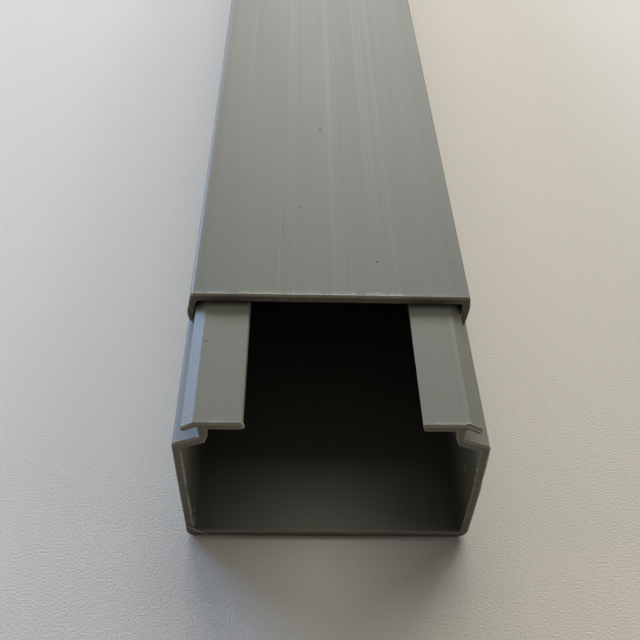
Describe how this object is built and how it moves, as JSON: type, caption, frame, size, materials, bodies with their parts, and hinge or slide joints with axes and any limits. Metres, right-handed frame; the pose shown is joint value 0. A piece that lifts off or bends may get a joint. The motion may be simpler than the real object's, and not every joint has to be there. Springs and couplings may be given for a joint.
{
  "type": "cord cover raceway",
  "caption": "Grey plastic cord cover raceway: a rectangular channel with lipped flanges and a flat clip-on cover that slides along it, for hiding and guarding cables.",
  "frame": {"origin": "middle of the base channel's flat underside, half way along its length and on its middle plane", "axes": "+Y along the channel, away from the sawn end where the cover is set back; +Z from the underside up to the cover; +X to the right when looking in at that sawn end"},
  "size_m": [0.06, 1.0324, 0.04],
  "materials": {
    "base_plastic": "satin",
    "cover_plastic": "satin"
  },
  "bodies": {
    "base": {"base_channel": "base_plastic"},
    "cover": {"cover": "cover_plastic"}
  },
  "joints": [
    {"name": "cover_slide", "type": "slide", "parent": "base", "child": "cover", "axis": [0, 1, 0], "range_m": [-0.0324, 0.97]}
  ]
}
